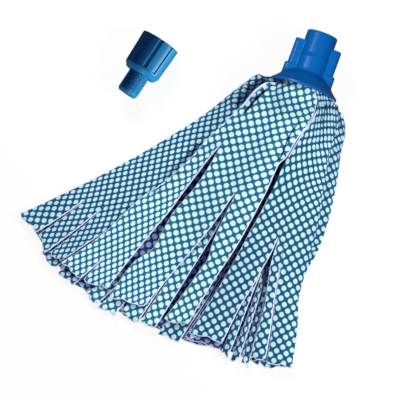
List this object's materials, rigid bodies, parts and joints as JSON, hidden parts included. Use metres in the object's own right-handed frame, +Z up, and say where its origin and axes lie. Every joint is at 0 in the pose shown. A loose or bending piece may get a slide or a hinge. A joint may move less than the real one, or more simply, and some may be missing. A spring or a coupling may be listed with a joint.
{
  "type": "strip mop refill",
  "caption": "Mop refill lying splayed: a flanged screw socket with dotted cloth strips spreading from its clamp, and a fluted handle adapter with a threaded stub beside it.",
  "frame": {"origin": "centre of the whole set's outline on the surface it lies on", "axes": "+Z up from that surface, +Y along the socket's axis towards its mouth, +X to the right when looking along +Y"},
  "size_m": [0.2942, 0.3194, 0.067],
  "materials": {
    "socket": "gloss, saturated blue",
    "adapter": "gloss, dark blue",
    "clamp": "matt, off-white",
    "cloth": "nonwoven cloth, white dots in a blue net"
  },
  "bodies": {
    "mop_head": {"socket": "socket", "clamp_plug": "clamp", "clamp_ring": "clamp", "strip_sheet_floor_left": "cloth", "strip_sheet_floor_right": "cloth", "strip_sheet_lower_left": "cloth", "strip_sheet_lower_right": "cloth", "strip_sheet_inner_left": "cloth", "strip_sheet_inner_right": "cloth", "strip_sheet_inner_middle": "cloth", "strip_sheet_top_left": "cloth", "strip_sheet_top_right": "cloth", "strip_sheet_top_middle": "cloth"},
    "adapter": {"handle_adapter": "adapter"}
  },
  "joints": [
    {"name": "adapter_lift", "type": "slide", "parent": "mop_head", "child": "adapter", "axis": [0, 0, 1], "range_m": [0, 0.12]}
  ]
}
